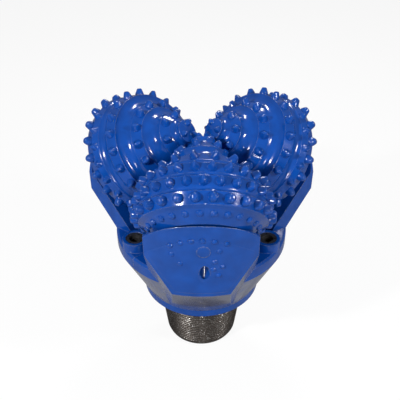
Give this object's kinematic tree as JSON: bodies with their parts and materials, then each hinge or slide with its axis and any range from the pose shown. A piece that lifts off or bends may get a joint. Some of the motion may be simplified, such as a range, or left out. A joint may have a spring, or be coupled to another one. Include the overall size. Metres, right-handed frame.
{
  "type": "roller cone drill bit",
  "caption": "Rotary drill bit with three roller cones set with carbide inserts, welded legs, jet nozzles and a tapered threaded pin.",
  "frame": {"origin": "centre of the pin's end face, on the bit axis, where the water bore opens", "axes": "+Z along the bit axis from the threaded pin towards the cones; one leg points along -Y and the others stand at 30 and 150 degrees from +X"},
  "size_m": [0.4389, 0.4168, 0.5326],
  "materials": {
    "blue_paint": "thick high-gloss blue enamel over forged and turned steel",
    "carbide": "tungsten-carbide inserts under the same gloss blue enamel",
    "jet_carbide": "bare sintered carbide, dark grey, satin",
    "pin_steel": "phosphated dark steel, oiled, with bright thread crests",
    "bearing_steel": "ground bearing steel",
    "bearing_bronze": "turned bearing bronze",
    "seal_rubber": "black nitrile rubber"
  },
  "bodies": {
    "bit_body": {"leg_front": "blue_paint", "leg_buttons_front": "carbide", "rollers_front": "bearing_steel", "balls_front": "bearing_steel", "thrust_disc_front": "bearing_bronze", "nozzle_front": "jet_carbide", "nozzle_retainer_front": "bearing_steel", "reservoir_cup_front": "bearing_steel", "diaphragm_front": "seal_rubber", "reservoir_cap_front": "blue_paint", "snap_ring_front": "bearing_steel", "ball_plug_front": "blue_paint", "leg_right": "blue_paint", "leg_buttons_right": "carbide", "rollers_right": "bearing_steel", "balls_right": "bearing_steel", "thrust_disc_right": "bearing_bronze", "nozzle_right": "jet_carbide", "nozzle_retainer_right": "bearing_steel", "reservoir_cup_right": "bearing_steel", "diaphragm_right": "seal_rubber", "reservoir_cap_right": "blue_paint", "snap_ring_right": "bearing_steel", "ball_plug_right": "blue_paint", "leg_left": "blue_paint", "leg_buttons_left": "carbide", "rollers_left": "bearing_steel", "balls_left": "bearing_steel", "thrust_disc_left": "bearing_bronze", "nozzle_left": "jet_carbide", "nozzle_retainer_left": "bearing_steel", "reservoir_cup_left": "bearing_steel", "diaphragm_left": "seal_rubber", "reservoir_cap_left": "blue_paint", "snap_ring_left": "bearing_steel", "ball_plug_left": "blue_paint"},
    "cone_front_body": {"cone_front": "blue_paint", "heel_inserts_front": "carbide", "gauge_inserts_front": "carbide", "inner_inserts_front": "carbide", "seal_front": "seal_rubber", "pilot_bushing_front": "bearing_bronze"},
    "cone_right_body": {"cone_right": "blue_paint", "heel_inserts_right": "carbide", "gauge_inserts_right": "carbide", "inner_inserts_right": "carbide", "seal_right": "seal_rubber", "pilot_bushing_right": "bearing_bronze"},
    "cone_left_body": {"cone_left": "blue_paint", "heel_inserts_left": "carbide", "gauge_inserts_left": "carbide", "inner_inserts_left": "carbide", "seal_left": "seal_rubber", "pilot_bushing_left": "bearing_bronze"}
  },
  "joints": [
    {"name": "cone_front_spin", "type": "hinge", "parent": "bit_body", "child": "cone_front_body", "pos_m": [0.0035, -0.12054, 0.42142], "axis": [0, -0.809, -0.5878], "continuous": true},
    {"name": "cone_right_spin", "type": "hinge", "parent": "bit_body", "child": "cone_right_body", "pos_m": [0.10264, 0.0633, 0.42142], "axis": [0.7006, 0.4045, -0.5878], "continuous": true},
    {"name": "cone_left_spin", "type": "hinge", "parent": "bit_body", "child": "cone_left_body", "pos_m": [-0.10614, 0.05724, 0.42142], "axis": [-0.7006, 0.4045, -0.5878], "continuous": true}
  ]
}
